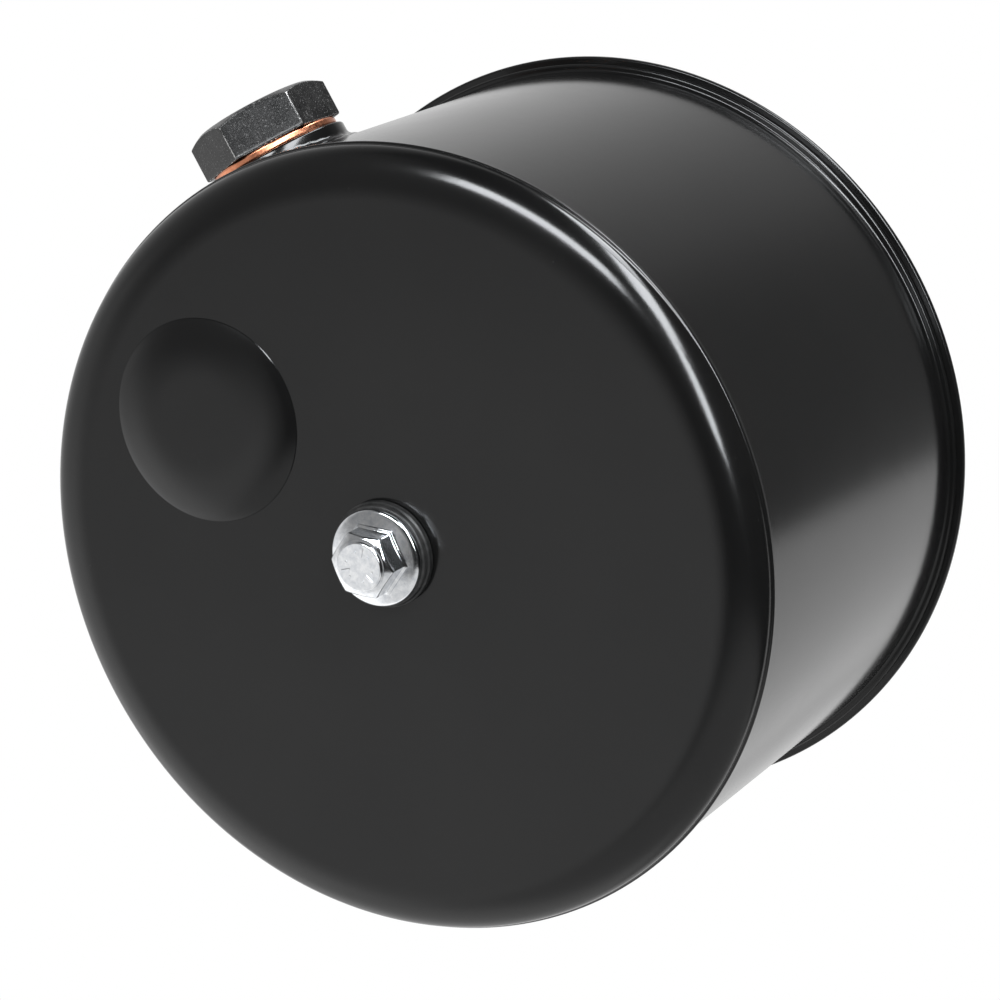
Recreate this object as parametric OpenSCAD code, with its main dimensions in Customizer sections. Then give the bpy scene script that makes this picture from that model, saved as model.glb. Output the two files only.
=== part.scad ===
// Hydraulic reservoir for a pump: a drawn steel can with an end cap, an open flanged mouth,
// a filler plug and one long centre bolt that also carries the return filter.
// The can's axis is Y: the closed end faces -Y, the mouth faces +Y, and the filler plug points up.
// The origin is the centre of the mounting flange's sealing face.

/* [Can] */
// Outer diameter of the end cap
cap_d = 146; // [142:1:150]
// Length from the closed face to the sealing face
can_len = 92; // [92:1:110]
// Thickness of the drawn steel sheet
sheet_t = 1; // [0.8:0.1:1.2]
// Outer corner radius between the closed face and the skirt
cap_corner_r = 4.5; // [4:0.5:5]
// Distance from the closed face to the end of the cap's skirt
cap_depth = 6; // [6:0.5:8]
// Radius of the fillet where the shell turns out against the flange
lip_fillet = 1.3; // [1:0.1:1.4]
// Width of the shell's turned-out lip
lip_w = 1.5; // [1.5:0.1:2]

/* [Embossed dome] */
// Diameter of the dome pressed into the closed face
dome_d = 38; // [30:1:40]
// Height of the dome above the face
dome_h = 2.5; // [2.5:0.1:4]
// Distance of the dome's centre from the can's axis
dome_offset = 41.8; // [38:0.1:44]
// Angle of the dome from straight up, towards -X
dome_angle = 30; // [0:1:359]

/* [Mounting flange] */
// Diameter of the flange
flange_d = 149.6; // [149:0.1:154]
// Thickness of the flange's plate
flange_t = 1.2; // [1:0.1:2]
// Diameter of the pilot bore that the pump's spigot enters
pilot_d = 136; // [134:0.5:136]
// Depth of the pilot bore, from the sealing face to the O-ring's groove
pilot_len = 9; // [8:1:12]
// Section diameter of the O-ring in the pilot bore
o_ring_t = 1.9; // [1.6:0.1:2.1]

/* [Filler] */
// Distance of the filler from the closed face
filler_pos = 30; // [24:1:40]
// Outer diameter of the welded boss
boss_d = 27; // [26:1:30]
// Height of the boss's seat above the shell
boss_h = 2; // [1.5:0.1:4]
// Depth of the boss below the shell's crown
boss_depth = 6; // [4:1:8]
// Diameter of the threaded bore in the boss, at the crests of its thread
filler_bore_d = 16.38; // [16.3:0.01:16.4]
// Diameter of the plug's thread, slim enough to turn in the bore
plug_thread_d = 16.2; // [16.1:0.01:16.2]
// Length of the plug below its head
plug_thread_len = 12; // [10:1:16]
// Width of the plug's hexagon across its flats
plug_af = 24; // [22:1:26]
// Height of the plug's head
plug_head_h = 8; // [7:0.5:10]
// Angle of the plug's hexagon when it is tight
plug_turn = 32; // [0:1:59]
// Outer diameter of the copper washer
copper_d = 25; // [24:0.5:26]
// Thickness of the copper washer
copper_t = 1.5; // [1:0.5:2]

/* [Centre bolt] */
// Nominal diameter of the bolt's thread
bolt_d = 8; // [8:0.5:8.5]
// Diameter of the bolt's plain shank
shank_d = 7.3; // [7:0.1:7.6]
// Length of the bolt under its head
bolt_len = 110; // [110:1:125]
// Length of the bolt's thread
bolt_thread_len = 22; // [16:1:24]
// Width of the bolt's hexagon across its flats
bolt_af = 11; // [10:1:13]
// Height of the bolt's head, flange included
bolt_head_h = 7; // [6.5:0.5:9]
// Diameter of the bolt's flange
bolt_flange_d = 17.8; // [17:0.1:19]
// Angle of the bolt's hexagon, from +X towards +Z
bolt_turn = 25; // [0:1:59]
// Diameter of the rubber sealing washer
seal_d = 19.6; // [19:0.1:22]
// Thickness of the rubber sealing washer
seal_t = 2.6; // [2:0.1:3]
// Diameter of the holes that the bolt passes through
clear_d = 8.6; // [8.6:0.1:9]
// Outer diameter of the E-clips
clip_d = 12.3; // [11:0.1:13]
// Thickness of the E-clips
clip_t = 0.7; // [0.6:0.1:0.8]

/* [Filter] */
// Outer diameter of the filter's end plates
filter_d = 78; // [70:1:84]
// Distance from the sealing face to the back of the seat plate
seat_back = 11.5; // [11:0.5:13]
// Thickness of the seat plate
seat_t = 2; // [1.5:0.5:3]
// Diameter of the seat plate
seat_d = 42; // [40:1:50]
// Thickness of the filter's rubber seal
filter_seal_t = 2.5; // [2:0.5:3]
// Length of the pleated paper
media_len = 32; // [24:1:32]
// Number of pleats
pleats = 36; // [24:1:40]
// Outer diameter of the perforated centre tube
tube_d = 36; // [34:1:38]
// Depth of the rims on the end plates
rim_depth = 6; // [4:1:8]
// Height of the spring at rest
spring_len = 24; // [22:1:26]
// Mean diameter of the spring
spring_d = 25.6; // [24:0.1:26]
// Diameter of the spring's wire
wire_d = 1.8; // [1.4:0.1:2]
// Number of the spring's turns
spring_turns = 6; // [4:1:7]

/* [Hidden] */
$fn = 96;

cap_r = cap_d / 2;
shell_r = cap_r - sheet_t;
shell_bore_r = shell_r - sheet_t;
front_y = -can_len;
inside_y = front_y + sheet_t;
plate_t = 2;

flange_r = flange_d / 2;
flange_round = 0.45;
pilot_r = pilot_d / 2;
o_ring_groove_w = o_ring_t + 0.3;
sleeve_len = pilot_len + o_ring_groove_w + 2.8;

filler_y = front_y + filler_pos;
seat_z = shell_r + boss_h;
head_z = seat_z + copper_t;

clear_r = clear_d / 2;
seal_front_y = front_y - seal_t;
bolt_tip_y = seal_front_y + bolt_len;
groove_w = clip_t + 0.1;
clip_groove_r = 3;

// Places along the axis of what the bolt carries, from the mouth towards the closed face
seat_y = -seat_back - seat_t;
rear_plate_y = seat_y - filter_seal_t - sheet_t;
media_y = rear_plate_y - media_len;
front_plate_y = media_y - sheet_t;
spring_y = front_plate_y - spring_len;
spring_seat_y = spring_y - sheet_t;
front_clip_y = spring_seat_y - clip_t - 0.1;
rear_clip_y = -seat_back + 0.1;

filter_r = filter_d / 2;
media_r = filter_r - sheet_t - 0.5;
tube_r = tube_d / 2;
tube_t = 1;
outlet_r = 14.5;

// Turns a profile, drawn as radius and distance along the can's axis, about the can's axis
module turned() {
    rotate([-90, 0, 0]) rotate_extrude() children();
}

// A plain ring about the can's axis, from y0 to y1
module ring(r_in, r_out, y0, y1) {
    turned() translate([r_in, y0]) square([r_out - r_in, y1 - y0]);
}

// A plain cylinder along the can's axis, from y0 to y1
module rod(r, y0, y1) {
    translate([0, y0, 0]) rotate([-90, 0, 0]) cylinder(r = r, h = y1 - y0);
}

// Moves a child from the can's axis to the dome's centre on the closed face
module at_dome() {
    translate([-dome_offset * sin(dome_angle), front_y, dome_offset * cos(dome_angle)]) children();
}

// Hexagonal prism across flats af with its top corners turned off, standing on z = 0
module hex_head(af, h) {
    corner_r = af / sqrt(3);
    turned_off = 0.5 * (corner_r - 0.47 * af);
    intersection() {
        cylinder(r = corner_r, h = h, $fn = 6);
        rotate_extrude() polygon([[0, 0], [corner_r + 1, 0], [corner_r + 1, h - turned_off - 0.5],
                                  [0.47 * af, h], [0, h]]);
    }
}

// ---- the can ----

module end_cap() {
    dome_r = dome_d / 2;
    ball_r = (dome_r * dome_r + dome_h * dome_h) / (2 * dome_h);
    ball_y = ball_r - dome_h;
    color([0.10, 0.10, 0.11]) difference() {
        union() {
            ring(clear_r, cap_r - cap_corner_r, front_y, inside_y);
            turned() intersection() {
                translate([cap_r - cap_corner_r, front_y + cap_corner_r]) difference() {
                    circle(r = cap_corner_r);
                    circle(r = cap_corner_r - sheet_t);
                }
                translate([cap_r - cap_corner_r, front_y]) square(cap_corner_r);
            }
            ring(shell_r, cap_r, front_y + cap_corner_r, front_y + cap_depth);
            at_dome() intersection() {
                translate([0, ball_y, 0]) sphere(r = ball_r);
                rod(dome_r + 1, -2 * dome_h, sheet_t / 2);
            }
        }
        at_dome() intersection() {
            translate([0, ball_y, 0]) sphere(r = ball_r - sheet_t);
            rod(dome_r, -2 * dome_h, 2 * sheet_t);
        }
    }
}

// The shell's rear end turns out into a lip, which the flange's plate backs
module shell() {
    lip_y = -flange_t;
    lip_front_y = lip_y - sheet_t;
    color([0.12, 0.12, 0.13]) difference() {
        union() {
            ring(shell_bore_r, shell_r, front_y + cap_corner_r + 0.5, lip_y);
            ring(shell_r - sheet_t / 2, shell_r + lip_w, lip_front_y, lip_y);
            turned() difference() {
                translate([shell_r - 0.1, lip_front_y - lip_fillet]) square(lip_fillet + 0.1);
                translate([shell_r + lip_fillet, lip_front_y - lip_fillet]) circle(r = lip_fillet);
            }
        }
        translate([0, filler_y, 0]) cylinder(r = boss_d / 2 - 2, h = cap_r + 1);
    }
}

// Plate with a sleeve that lines the mouth. The pump's spigot enters the sleeve's pilot bore.
module mounting_flange() {
    color([0.10, 0.10, 0.11]) turned() difference() {
        union() {
            translate([pilot_r, -sleeve_len]) square([shell_bore_r - pilot_r, sleeve_len]);
            translate([pilot_r, -flange_t]) square([flange_r - flange_round - pilot_r, flange_t]);
            translate([pilot_r, -flange_t + flange_round])
                square([flange_r - pilot_r, flange_t - 2 * flange_round]);
            for (y = [-flange_round, -flange_t + flange_round])
                translate([flange_r - flange_round, y]) circle(r = flange_round);
        }
        translate([pilot_r - 1, -pilot_len - o_ring_groove_w]) square([o_ring_t + 1, o_ring_groove_w]);
    }
}

module mouth_o_ring() {
    color([0.05, 0.05, 0.05]) turned()
        translate([pilot_r + o_ring_t / 2, -pilot_len - o_ring_groove_w / 2]) circle(d = o_ring_t);
}

// Plate spot-welded behind the closed face, which spreads the bolt's pull
module cap_reinforcement() {
    color([0.45, 0.46, 0.48]) ring(clear_r, 20, inside_y, inside_y + plate_t);
}

// ---- the filler ----

module filler_boss() {
    color([0.12, 0.12, 0.13]) translate([0, filler_y, 0]) difference() {
        union() {
            difference() {
                translate([0, 0, shell_r - 6]) cylinder(d = boss_d, h = 6 + boss_h);
                rotate([90, 0, 0]) cylinder(r = shell_r, h = 2 * boss_d, center = true);
            }
            translate([0, 0, shell_r - boss_depth])
                cylinder(r = boss_d / 2 - 2, h = boss_depth + boss_h);
        }
        translate([0, 0, shell_r - boss_depth - 1])
            cylinder(d = filler_bore_d, h = boss_depth + boss_h + 2);
    }
}

module copper_washer() {
    color([0.80, 0.42, 0.24]) translate([0, filler_y, seat_z]) difference() {
        cylinder(d = copper_d, h = copper_t);
        translate([0, 0, -1]) cylinder(d = plug_thread_d + 0.2, h = copper_t + 2);
    }
}

module filler_plug() {
    color([0.08, 0.08, 0.09]) translate([0, filler_y, head_z]) {
        rotate([0, 0, plug_turn]) hex_head(plug_af, plug_head_h);
        translate([0, 0, -plug_thread_len]) cylinder(d = plug_thread_d, h = plug_thread_len + 1);
    }
}

// ---- the centre bolt ----

module bolt_seal_washer() {
    color([0.04, 0.04, 0.04]) ring(clear_r, seal_d / 2, seal_front_y, front_y);
}

// The shank has a groove for each E-clip, and is slimmer than the thread so that parts slide over it
module through_bolt() {
    cone_r = 0.55 * bolt_af;
    color([0.78, 0.79, 0.80]) difference() {
        union() {
            turned() polygon([[0, seal_front_y], [bolt_flange_d / 2, seal_front_y],
                              [bolt_flange_d / 2, seal_front_y - 1.3],
                              [cone_r, seal_front_y - 2.6], [0, seal_front_y - 2.6]]);
            translate([0, seal_front_y, 0]) rotate([90, 0, 0]) rotate([0, 0, bolt_turn])
                hex_head(bolt_af, bolt_head_h);
            rod(shank_d / 2, seal_front_y - 1, bolt_tip_y - bolt_thread_len + 1);
            rod(bolt_d / 2, bolt_tip_y - bolt_thread_len, bolt_tip_y);
        }
        ring(clip_groove_r, shank_d / 2 + 1, front_clip_y, front_clip_y + groove_w);
        ring(clip_groove_r, shank_d / 2 + 1, rear_clip_y, rear_clip_y + groove_w);
    }
}

// E-clip that springs sideways into a groove of the bolt
module e_clip(y) {
    color([0.35, 0.36, 0.38]) translate([0, y, 0]) rotate([-90, 0, 0])
        linear_extrude(height = clip_t) difference() {
            circle(d = clip_d);
            circle(r = clip_groove_r);
            translate([0, -clip_d / 2]) square([1.7 * clip_groove_r, clip_d], center = true);
            for (side = [-1, 1])
                translate([side * (clip_groove_r + 0.6), 0.4]) circle(r = 1.3);
        }
}

module front_clip() {
    e_clip(front_clip_y);
}

module rear_clip() {
    e_clip(rear_clip_y);
}

// ---- the filter ----

// Cup that the front end of the spring sits in
module spring_seat() {
    cup_r = spring_d / 2 + wire_d / 2 + 0.4;
    color([0.70, 0.66, 0.45]) union() {
        ring(clear_r, cup_r + sheet_t, spring_seat_y, spring_y);
        ring(cup_r, cup_r + sheet_t, spring_seat_y, spring_y + 4);
    }
}

// One ring of the wire's section, at turn t of the coil
function wire_ring(t, sides) =
    let (a = 360 * t, rise = wire_d / 2 + (spring_len - wire_d) * t / spring_turns)
    [for (k = [0:sides - 1])
        let (w = 360 * k / sides, r = spring_d / 2 + wire_d / 2 * cos(w))
        [r * cos(a), spring_y + rise + wire_d / 2 * sin(w), r * sin(a)]];

module filter_spring() {
    sides = 8;
    steps = spring_turns * 24;
    points = [for (i = [0:steps]) each wire_ring(i / 24, sides)];
    skin = [for (i = [0:steps - 1]) for (k = [0:sides - 1])
        let (n = (k + 1) % sides)
        [i * sides + k, i * sides + n, (i + 1) * sides + n, (i + 1) * sides + k]];
    ends = [[for (k = [sides - 1:-1:0]) k], [for (k = [0:sides - 1]) steps * sides + k]];
    color([0.55, 0.56, 0.58]) polyhedron(points = points, faces = concat(skin, ends));
}

module filter_front_plate() {
    color([0.72, 0.70, 0.62]) union() {
        ring(clear_r + 1.6, filter_r, front_plate_y, media_y);
        ring(filter_r - sheet_t, filter_r, front_plate_y, front_plate_y + rim_depth);
    }
}

// Rubber grommet that seals the front plate on the bolt's shank
module bolt_grommet() {
    color([0.05, 0.05, 0.05]) union() {
        ring(shank_d / 2 + 0.1, clear_r + 1.6, front_plate_y - 0.6, media_y + 0.8);
        ring(shank_d / 2 + 0.1, clear_r + 3, media_y, media_y + 0.8);
    }
}

// One outline of the pleated paper, between radius r_in in the valleys and r_out at the tips
function pleat_outline(r_in, r_out) =
    [for (i = [0:2 * pleats - 1])
        let (a = 180 * i / pleats, r = i % 2 == 0 ? r_out : r_in)
        [r * cos(a), r * sin(a)]];

module filter_media() {
    paper_w = 5;
    color([0.86, 0.78, 0.55]) translate([0, media_y, 0]) rotate([-90, 0, 0])
        linear_extrude(height = media_len) difference() {
            polygon(pleat_outline(tube_r + 0.2 + paper_w, media_r));
            polygon(pleat_outline(tube_r + 0.2, media_r - paper_w));
        }
}

module filter_centre_tube() {
    rows = 5;
    hole_r = 2;
    color([0.62, 0.63, 0.65]) difference() {
        ring(tube_r - tube_t, tube_r, media_y, rear_plate_y);
        for (row = [1:rows]) for (turn = [0:3])
            translate([0, media_y + media_len * row / (rows + 1), 0]) rotate([0, 45 * turn, 0])
                cylinder(r = hole_r, h = tube_d + 2, center = true);
    }
}

module filter_rear_plate() {
    color([0.72, 0.70, 0.62]) union() {
        ring(outlet_r, filter_r, rear_plate_y, rear_plate_y + sheet_t);
        ring(filter_r - sheet_t, filter_r, rear_plate_y + sheet_t - rim_depth, rear_plate_y + sheet_t);
    }
}

module filter_seal() {
    color([0.05, 0.05, 0.05]) ring(outlet_r, outlet_r + 4, rear_plate_y + sheet_t, seat_y);
}

// Plate that closes the filter's outlet round the bolt, with six holes for the clean oil
module seat_plate() {
    color([0.60, 0.61, 0.63]) difference() {
        ring(clear_r, seat_d / 2, seat_y, -seat_back);
        for (i = [0:5])
            rotate([0, 60 * i, 0]) translate([9.5, seat_y - 1, 0]) rotate([-90, 0, 0])
                cylinder(r = 3, h = seat_t + 2);
    }
}

end_cap();
shell();
mounting_flange();
mouth_o_ring();
cap_reinforcement();
filler_boss();
copper_washer();
filler_plug();
bolt_seal_washer();
through_bolt();
front_clip();
spring_seat();
filter_spring();
filter_front_plate();
bolt_grommet();
filter_media();
filter_centre_tube();
filter_rear_plate();
filter_seal();
seat_plate();
rear_clip();
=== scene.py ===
from math import atan2, ceil, cos, floor, hypot, pi, radians, sin, sqrt, tan

import bpy
from mathutils import Matrix, Vector
from mathutils.geometry import tessellate_polygon


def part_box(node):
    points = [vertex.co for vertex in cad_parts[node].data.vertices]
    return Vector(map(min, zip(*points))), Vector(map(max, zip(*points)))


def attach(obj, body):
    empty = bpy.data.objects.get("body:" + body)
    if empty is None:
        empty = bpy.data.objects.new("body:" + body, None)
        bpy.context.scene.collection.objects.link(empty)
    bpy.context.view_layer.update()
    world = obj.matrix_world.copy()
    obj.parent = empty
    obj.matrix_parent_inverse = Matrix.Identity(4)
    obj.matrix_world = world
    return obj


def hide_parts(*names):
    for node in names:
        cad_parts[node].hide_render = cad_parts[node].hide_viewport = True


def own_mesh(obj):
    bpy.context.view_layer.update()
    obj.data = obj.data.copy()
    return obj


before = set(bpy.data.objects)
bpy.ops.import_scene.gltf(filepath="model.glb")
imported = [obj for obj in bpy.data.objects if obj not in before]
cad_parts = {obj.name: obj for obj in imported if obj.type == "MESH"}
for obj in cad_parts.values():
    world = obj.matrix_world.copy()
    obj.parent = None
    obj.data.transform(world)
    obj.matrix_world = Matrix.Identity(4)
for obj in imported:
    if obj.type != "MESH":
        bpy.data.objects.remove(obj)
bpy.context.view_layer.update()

MM = 0.001
TURN = 2 * pi
MERGE_STEPS = 997                             # points are one when they agree to 1/997 mm
TO_CAN_AXIS = Matrix.Rotation(-pi / 2, 4, "X")      # a local height along Z becomes a place along +Y
TO_HEAD_SIDE = Matrix.Rotation(pi / 2, 4, "X")      # a local height along Z becomes a place along -Y


def low(node):
    """Lowest corner of a CAD node, in millimetres."""
    return [round(c / MM, 1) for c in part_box(node)[0]]


def high(node):
    """Highest corner of a CAD node, in millimetres."""
    return [round(c / MM, 1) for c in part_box(node)[1]]


X, Y, Z = 0, 1, 2

# ---- sizes, read from the frame where it has them ----

SHEET = 1.0                                   # thickness of the drawn steel
CAP_R = high("end_cap")[X]
FACE_Y = high("bolt_seal_washer")[Y]
SKIRT_Y = high("end_cap")[Y]
CORNER_R = 9.0                                # how far the cap's corner reaches across the face
CORNER_LEN = 4.7                              # and along the can
HEM_H = 0.45                                  # rise and length of the hem at the end of the skirt
HEM_W = 0.95
BEAD_Y = SKIRT_Y + 0.75                       # place of the bead that seals the hem on the shell
BEAD_R = 0.45
SHELL_R = CAP_R - SHEET
SHELL_BORE_R = SHELL_R - SHEET
SHELL_Y = high("shell")[Y]
LIP_R = high("shell")[X]
FLANGE_R = high("mounting_flange")[X]
SLEEVE_Y = low("mounting_flange")[Y]
PILOT_R = 68.0                                # bore that takes the pump's spigot
O_RING_T = high("mouth_o_ring")[Y] - low("mouth_o_ring")[Y]
O_RING_Y = (high("mouth_o_ring")[Y] + low("mouth_o_ring")[Y]) / 2

DOME_R = 19.0
DOME_H = 1.95
DOME_FLAT = 0.45                              # share of the dome that is a flat crown
DOME_OFFSET = 41.8
DOME_ANGLE = radians(30)                      # from straight up, towards -X
DOME_AT = Vector((-DOME_OFFSET * sin(DOME_ANGLE), 0, DOME_OFFSET * cos(DOME_ANGLE)))

FILLER_Y = (high("filler_boss")[Y] + low("filler_boss")[Y]) / 2
BOSS_R = high("filler_boss")[X]
BOSS_BOTTOM_Z = low("filler_boss")[Z]
SEAT_Z = high("filler_boss")[Z]
HEAD_Z = high("copper_washer")[Z]
COPPER_R = high("copper_washer")[X]
PLUG_TOP_Z = high("filler_plug")[Z]
PLUG_TIP_Z = low("filler_plug")[Z]
PLUG_AF = 24.0
PLUG_TURN = radians(32)                       # of a corner of the hexagon, from +X
PLUG_CORNER = 0.45                            # rounding of the plug's six upright edges
PLUG_THREAD = {"crest": 8.9, "root": 8.1, "pitch": 1.5}
THREAD_GAP = 0.09                             # clearance of the boss's thread round the plug's

NECK = 0.35                                   # by which the shell narrows inside the cap,
NECK_LEN = 0.6                                # over this length
BEAD_END_Y = BEAD_Y + 0.8                     # where the shell's plain wall starts behind the bead
BEND_LEN = 1.6                                # from the plain wall's end to the front of the lip
CLEAR_R = 4.3                                 # holes that the bolt's shank goes through
SEAL_R = high("bolt_seal_washer")[X]
SEAL_Y = low("bolt_seal_washer")[Y]
BOLT_TIP_Y = high("through_bolt")[Y]
BOLT_HEAD_H = SEAL_Y - low("through_bolt")[Y]
BOLT_FLANGE_R = high("through_bolt")[X]
BOLT_AF = 11.0
BOLT_TURN = radians(25)                       # of a corner of the hexagon
SHANK_R = 3.65
BOLT_THREAD = {"crest": 4.0, "root": 3.35, "pitch": 1.25}
BOLT_THREAD_LEN = 22.0
CLIP_GROOVE_R = 3.0
CLIP_GROOVE_W = 0.8                           # width of a clip's groove in the shank

FILTER_R = high("filter_front_plate")[X]
MEDIA_R = FILTER_R - SHEET - 0.5
TUBE_R = high("filter_centre_tube")[X]
OUTLET_R = 14.5
PLEATS = 36


# ---- mesh building ----

class Skin:
    """Gathers faces in millimetres, with their corners' normals where they are known, for one mesh."""

    def __init__(self, place=Matrix.Identity(4)):
        self.place = place
        self.points, self.index, self.weights = [], {}, []
        self.faces, self.normals = [], []

    def point(self, where, weight=0.0):
        where = self.place @ Vector(where)
        key = tuple(round(c * MERGE_STEPS) for c in where)
        if key not in self.index:
            self.index[key] = len(self.points)
            self.points.append(where)
            self.weights.append(weight)
        return self.index[key]

    def face(self, corners, normals=None, weights=None):
        weights = weights or [0.0] * len(corners)
        ids = [self.point(c, w) for c, w in zip(corners, weights)]
        kept = [i for i in range(len(ids)) if ids[i] != ids[i - 1]]
        if len(kept) < 3 or len({ids[i] for i in kept}) < len(kept):
            return
        ids = [ids[i] for i in kept]
        if normals:
            turned = self.place.to_3x3()
            normals = [turned @ Vector(normals[i]) for i in kept]
            if newell([self.points[i] for i in ids]).dot(sum(normals, Vector())) < 0:
                ids.reverse()
                normals.reverse()
        self.faces.append(ids)
        self.normals.append(normals)

    def flat(self, loops, normal):
        """A flat face with holes: the first loop is its edge."""
        corners = [Vector(p) for loop in loops for p in loop]
        for three in tessellate_polygon([[Vector(p) for p in loop] for loop in loops]):
            self.face([corners[i] for i in three], [normal] * 3)

    def turn(self, runs, segments=96, start=0.0):
        """Turns runs of (radius, height, radial normal, height normal) about the local Z."""
        spokes = [(cos(start + TURN * i / segments), sin(start + TURN * i / segments))
                  for i in range(segments)]
        for run in runs:
            for low_end, high_end in zip(run, run[1:]):
                for i, spoke in enumerate(spokes):
                    self.band(low_end, high_end, spokes[i - 1], spoke)

    def band(self, low_end, high_end, spoke, next_spoke):
        corners, normals = [], []
        for (r, h, nr, nh), (c, s) in ((low_end, spoke), (high_end, spoke),
                                       (high_end, next_spoke), (low_end, next_spoke)):
            corners.append((r * c, r * s, h))
            normals.append((nr * c, nr * s, nh))
        self.face(corners, normals)

    def columns(self, columns, weights=None, closed=True):
        """Faces between neighbouring columns of points; the outside is on the right going up."""
        count = len(columns)
        for i in range(count if closed else count - 1):
            here, there = columns[i], columns[(i + 1) % count]
            for k in range(len(here) - 1):
                near = [weights[k]] * 2 + [weights[k + 1]] * 2 if weights else None
                self.face([here[k], there[k], there[k + 1], here[k + 1]], None, near)

    def fill_normals(self, limit=radians(38)):
        """Normals for corners without one: the mean of the faces round it that turn less than limit."""
        around = {}
        for k, ids in enumerate(self.faces):
            if self.normals[k] is None:
                normal = newell([self.points[i] for i in ids])
                for i in ids:
                    around.setdefault(i, []).append(normal)
        for k, ids in enumerate(self.faces):
            if self.normals[k] is None:
                own = newell([self.points[i] for i in ids])
                near = [[n for n in around[i] if n.length > 0 and own.length > 0
                         and n.angle(own) < limit] for i in ids]
                self.normals[k] = [sum(ns, Vector()).normalized() if ns else own for ns in near]

    def make(self, name, body, slot, material, *nodes):
        """The finished piece, which rides on a body and stands for the CAD nodes named."""
        self.fill_normals()
        mesh = bpy.data.meshes.new(name)
        mesh.from_pydata([p * MM for p in self.points], [], self.faces)
        mesh.shade_smooth()
        mesh.normals_split_custom_set([n for ns in self.normals for n in ns])
        edge = mesh.attributes.new("edge", "FLOAT", "POINT")
        edge.data.foreach_set("value", self.weights)
        mesh.materials.append(material)
        piece = bpy.data.objects.new(name, mesh)
        bpy.context.scene.collection.objects.link(piece)
        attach(piece, body)
        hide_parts(*nodes)
        return piece


def newell(points):
    """Normal of a face, as long as twice its area."""
    total = Vector()
    for i, p in enumerate(points):
        total += points[i - 1].cross(p)
    return total


def rounded(corners, closed=True, step=radians(11)):
    """Runs round an outline of (x, y) or (x, y, radius) corners, with the outside on the right.

    Each run is a straight stretch or an arc, as (x, y, normal x, normal y) points."""
    points = [Vector(c[:2]) for c in corners]
    radii = [c[2] if len(c) > 2 else 0 for c in corners]
    count = len(points)
    arcs = []
    for i, p in enumerate(points):
        open_end = not closed and i in (0, count - 1)
        arcs.append([] if radii[i] == 0 or open_end
                    else corner_arc(points[i - 1], p, points[(i + 1) % count], radii[i], step))
    runs = []
    for i in range(count):
        runs += [arcs[i]] if arcs[i] else []
        if closed or i < count - 1:
            j = (i + 1) % count
            here = Vector(arcs[i][-1][:2]) if arcs[i] else points[i]
            there = Vector(arcs[j][0][:2]) if arcs[j] else points[j]
            along = there - here
            if along.length > 1e-6:
                along.normalize()
                runs.append([(q.x, q.y, along.y, -along.x) for q in (here, there)])
    return runs


def corner_arc(before, corner, after, radius, step):
    """The arc of a radius that rounds one corner of an outline."""
    a, b = (before - corner).normalized(), (after - corner).normalized()
    half = a.angle(b) / 2
    convex = a.cross(b) < 0
    centre = corner + (a + b).normalized() * radius / sin(half)
    first = corner + a * radius / tan(half) - centre
    start, sweep = atan2(first.y, first.x), (pi - 2 * half) * (1 if convex else -1)
    steps = max(2, ceil(abs(sweep) / step))
    outward = 1 if convex else -1
    arc = []
    for k in range(steps + 1):
        c, s = cos(start + sweep * k / steps), sin(start + sweep * k / steps)
        arc.append((centre.x + radius * c, centre.y + radius * s, outward * c, outward * s))
    return arc


def turned_piece(name, body, slot, material, corners, segments=96, place=TO_CAN_AXIS, nodes=None):
    """A piece turned from one closed outline of (radius, height) corners."""
    skin = Skin(place)
    skin.turn(rounded(corners), segments)
    return skin.make(name, body, slot, material, *(nodes or [name]))


def circle(radius, count, height=0.0, centre=(0, 0), start=0.0):
    """Points round a circle, at one height."""
    return [(centre[0] + radius * cos(start + TURN * i / count),
             centre[1] + radius * sin(start + TURN * i / count), height) for i in range(count)]


def hexagon(across_flats, corner_round, flat_steps=10, arc_steps=4):
    """(radius, angle) points round a hexagon with rounded corners, one corner at angle 0."""
    points = []
    reach = across_flats / sqrt(3) - corner_round / cos(pi / 6)
    for side in range(6):
        middle = side * pi / 3
        centre = Vector((reach * cos(middle), reach * sin(middle)))
        arc = [centre + corner_round * Vector((cos(a), sin(a)))
               for a in (middle - pi / 6 + pi / 3 * k / arc_steps for k in range(arc_steps + 1))]
        ahead = Matrix.Rotation(pi / 3, 2) @ arc[0]
        points += arc[:-1] + [arc[-1].lerp(ahead, k / flat_steps) for k in range(flat_steps)]
    return [(p.length, atan2(p.y, p.x)) for p in points]


def thread_wave(phase):
    """Height of a thread's outline, from 0 at its root to 1 at its crest, over one pitch."""
    crest, flank = 0.16, 0.30
    from_crest = abs((phase + 0.5) % 1.0 - 0.5)
    return min(1.0, max(0.0, 1 - (from_crest - crest / 2) / flank))


def thread(skin, low_end, high_end, gap=0.0, spokes=72, **size):
    """A right-hand thread about the local Z that fades out at both ends. One with a gap is internal."""
    pitch, depth = size["pitch"], size["crest"] - size["root"]
    marks = [0.0, 0.08, 0.23, 0.38, 0.5, 0.62, 0.77, 0.92]
    first, last = floor(low_end / pitch) - 1, ceil(high_end / pitch) + 1
    columns = []
    for i in range(spokes + 1):
        lead, column = i / spokes, []
        for turn in range(first, last):
            for mark in marks:
                h = min(max((turn + mark + lead) * pitch, low_end), high_end)
                fade = min(1.0, (h - low_end) / pitch, (high_end - h) / pitch)
                wave = thread_wave(h / pitch - lead)
                r = size["root"] + depth * wave * fade
                if gap:
                    r = size["crest"] + gap - depth * (1 - wave) * fade
                column.append((r * cos(TURN * lead), r * sin(TURN * lead), h))
        columns.append(column)
    if gap:
        columns.reverse()
    skin.columns(columns, closed=False)


# ---- materials ----

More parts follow.
